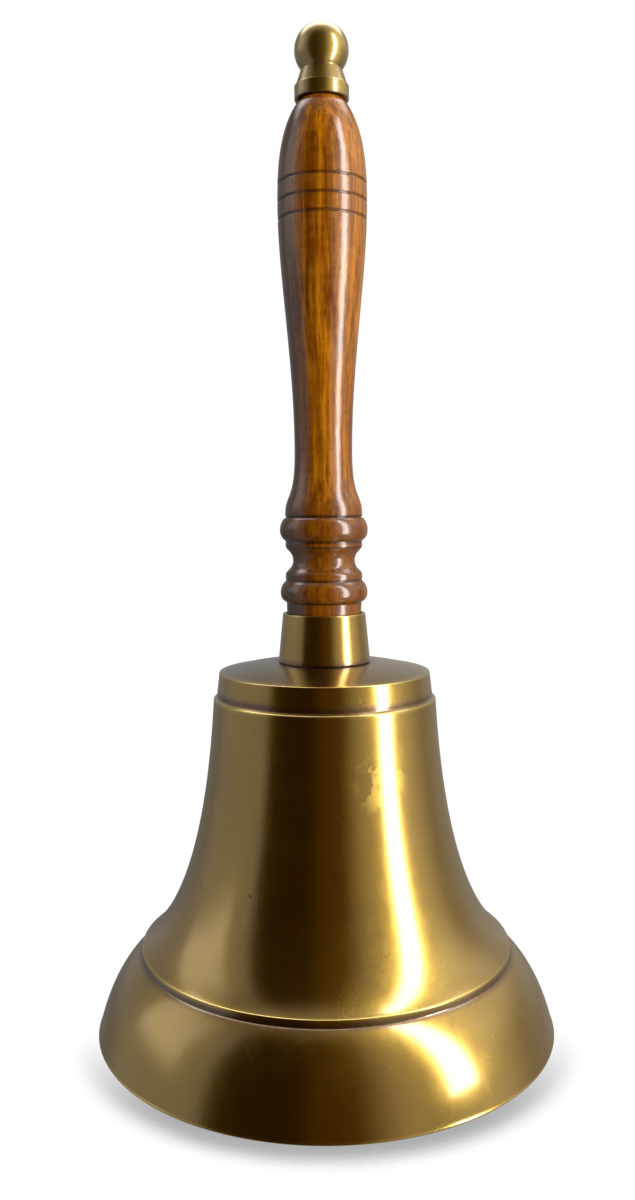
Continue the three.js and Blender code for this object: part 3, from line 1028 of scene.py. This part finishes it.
def make_surroundings():
    """White to look at, with a dimmer studio of soft panels for brass and varnish to reflect."""
    world = bpy.data.worlds.new("studio")
    bpy.context.scene.world = world
    world.use_nodes = True
    w = Wiring(world.node_tree)
    w.nodes.clear()
    output = w.node("OutputWorld")
    x, y, z = w.separate(w.node("TexCoord").outputs["Generated"])
    bearing = w.math("DEGREES", w.math("ARCTAN2", x, w.math("MULTIPLY", y, -1.0)))
    climb = w.math("DEGREES", w.math("ARCSINE", z))
    behind = w.math("ABSOLUTE", bearing)

    whole = (-95, 95, 1, 1)
    total = w.combine(0.026, 0.0125, 0.0005)
    total = add_panel(w, total, bearing, climb, (-8, 46, 5, 16), whole, (0.048, 0.022, 0.0))
    total = add_panel(w, total, bearing, climb, (-190, -57, 1, 5), whole, (0.13, 0.135, 0.135))
    total = add_panel(w, total, bearing, climb, (-122, -59, 12, 5), (-60, 48, 30, 14), (0.12, 0.125, 0.14))
    total = add_panel(w, total, bearing, climb, (-112, -78, 3, 3), (8, 44, 8, 12), (0.42, 0.43, 0.45))
    total = add_panel(w, total, bearing, climb, (66, 190, 18, 1), whole, (0.24, 0.225, 0.19))
    total = add_panel(w, total, bearing, climb, (26, 98, 14, 20), (-70, 75, 20, 20), (0.36, 0.34, 0.27))
    total = add_panel(w, total, bearing, climb, (84, 128, 12, 14), (14, 60, 12, 14), (0.45, 0.44, 0.40))
    total = add_panel(w, total, behind, climb, (108, 190, 9, 1), (44, 95, 7, 1), (2.6, 2.6, 2.65))
    total = add_panel(w, total, behind, climb, (125, 190, 15, 1), (-6, 30, 8, 10), (0.10, 0.11, 0.13))
    total = add_panel(w, total, behind, climb, (-10, 190, 1, 1), (66, 95, 10, 1), (0.22, 0.21, 0.19))

    rays = w.node("LightPath")
    studio = w.node("Background")
    w.tree.links.new(total, studio.inputs["Color"])
    white = w.node("Background")
    white.inputs["Color"].default_value = (1, 1, 1, 1)
    white.inputs["Strength"].default_value = WHITE
    seen = w.node("MixShader")
    w.tree.links.new(rays.outputs["Is Camera Ray"], seen.inputs[0])
    w.tree.links.new(studio.outputs[0], seen.inputs[1])
    w.tree.links.new(white.outputs[0], seen.inputs[2])
    w.tree.links.new(seen.outputs[0], output.inputs["Surface"])


def make_panel_light(name, bearing, distance, width, foot, top, brightness, reflected):
    """An upright panel beside the bell, seen in reflections only or lighting dull surfaces only."""
    turn = math.radians(bearing)
    outward = Vector((math.sin(turn), -math.cos(turn), 0))
    lamp = bpy.data.lights.new(name, "AREA")
    lamp.shape = "RECTANGLE"
    lamp.size = width
    lamp.size_y = top - foot
    lamp.energy = brightness * math.pi * width * (top - foot)
    holder = bpy.data.objects.new(name, lamp)
    holder.location = outward * distance + Vector((0, 0, (foot + top) / 2))
    holder.rotation_mode = "QUATERNION"
    holder.rotation_quaternion = (-outward).to_track_quat("-Z", "Y")
    holder.visible_camera = False
    holder.visible_diffuse = not reflected
    holder.visible_glossy = reflected
    bpy.context.scene.collection.objects.link(holder)


def make_camera():
    """The view: just in front of the bell and a little above its middle, tipped down."""
    lens_data = bpy.data.cameras.new("camera")
    lens_data.sensor_width = 36.0
    lens_data.lens = CAMERA_LENS
    lens_data.clip_start = 0.01
    camera = bpy.data.objects.new("camera", lens_data)
    camera.location = CAMERA_PLACE
    tip, roll = math.radians(90 - CAMERA_DOWN), math.radians(CAMERA_ROLL)
    camera.rotation_mode = "QUATERNION"
    camera.rotation_quaternion = Quaternion((1, 0, 0), tip) @ Quaternion((0, 0, 1), roll)
    bpy.context.scene.collection.objects.link(camera)
    bpy.context.scene.camera = camera


bpy.context.scene.view_settings.view_transform = "Standard"
make_floor()
make_surroundings()
make_panel_light("strip light", 58.5, 0.25, 0.062, 0.02, 0.52, 7.6, True)
make_panel_light("side light", 42, 0.70, 0.24, 0.0, 0.60, 22.0, False)
make_camera()
